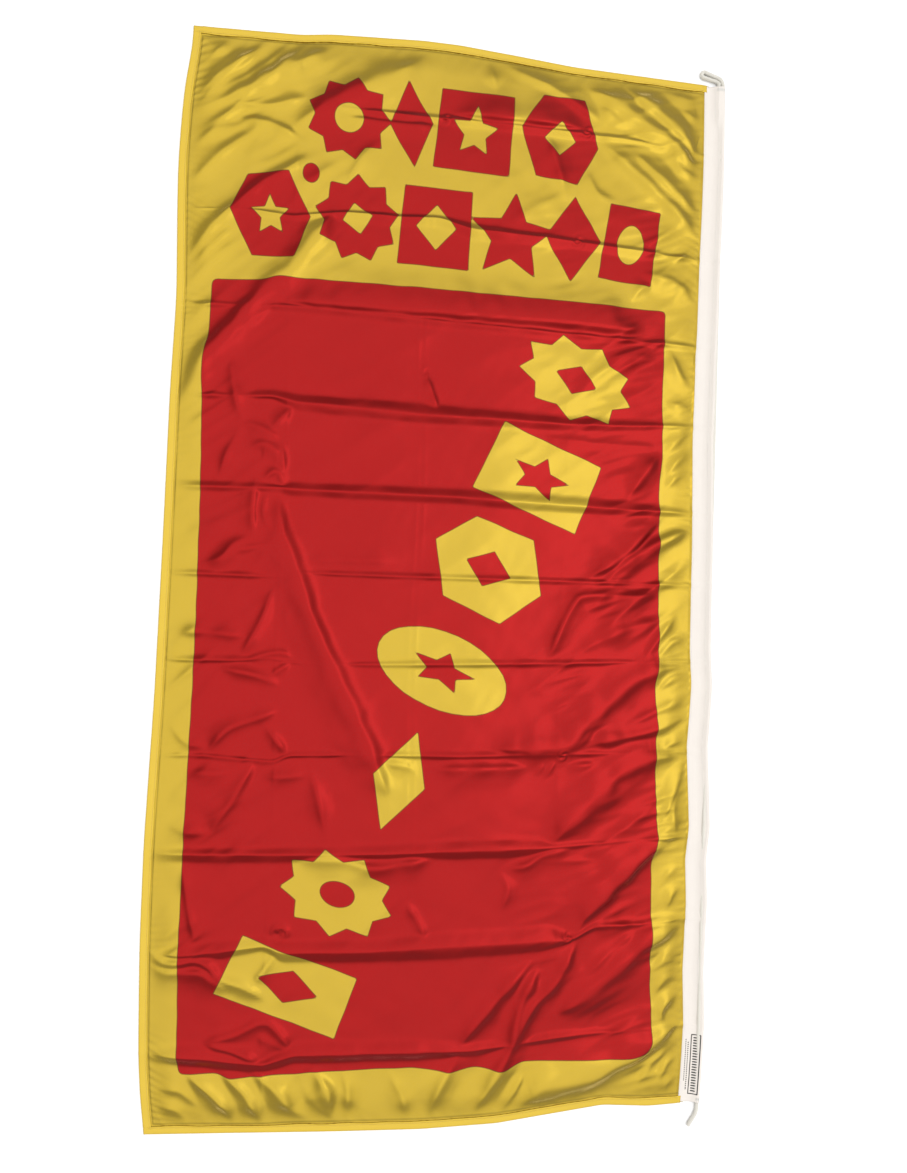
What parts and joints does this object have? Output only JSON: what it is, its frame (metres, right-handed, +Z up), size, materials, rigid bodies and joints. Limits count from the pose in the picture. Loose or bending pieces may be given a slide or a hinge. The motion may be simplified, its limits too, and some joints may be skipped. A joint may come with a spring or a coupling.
{
  "type": "roped banner flag",
  "caption": "Portrait cloth banner flag with turned hems and a canvas heading along one long side, roped with a top loop and a bottom tail.",
  "frame": {"origin": "middle of the flag's underside, on the surface that the flag lies on", "axes": "+Y along the hoist towards the rope loop, +X from the fly hem towards the heading, +Z up out of the reverse side"},
  "size_m": [0.925, 1.8673, 0.0098],
  "materials": {
    "flag_cloth": "satin knitted polyester, dye printed in yellow and red, storage creases",
    "hem_thread": "polyester sewing thread",
    "heading_canvas": "plain woven canvas tape",
    "heading_thread": "polyester sewing thread",
    "rope": "braided polyester rope"
  },
  "bodies": {
    "heading": {"heading_tape": "heading_canvas", "seam_thread": "heading_thread", "tunnel_thread": "heading_thread", "top_tack": "heading_thread", "bottom_tack": "heading_thread", "hoist_rope": "rope", "rope_return_end": "rope", "rope_loop": "rope", "rope_tail": "rope"},
    "banner": {"flag_cloth": "flag_cloth", "top_hem_thread": "hem_thread", "bottom_hem_thread": "hem_thread", "fly_hem_thread": "hem_thread"}
  },
  "joints": [
    {"name": "banner_swing", "type": "hinge", "parent": "heading", "child": "banner", "pos_m": [0.4255, 0, 0.0007], "axis": [0, 1, 0], "range_deg": [-90, 90]}
  ]
}
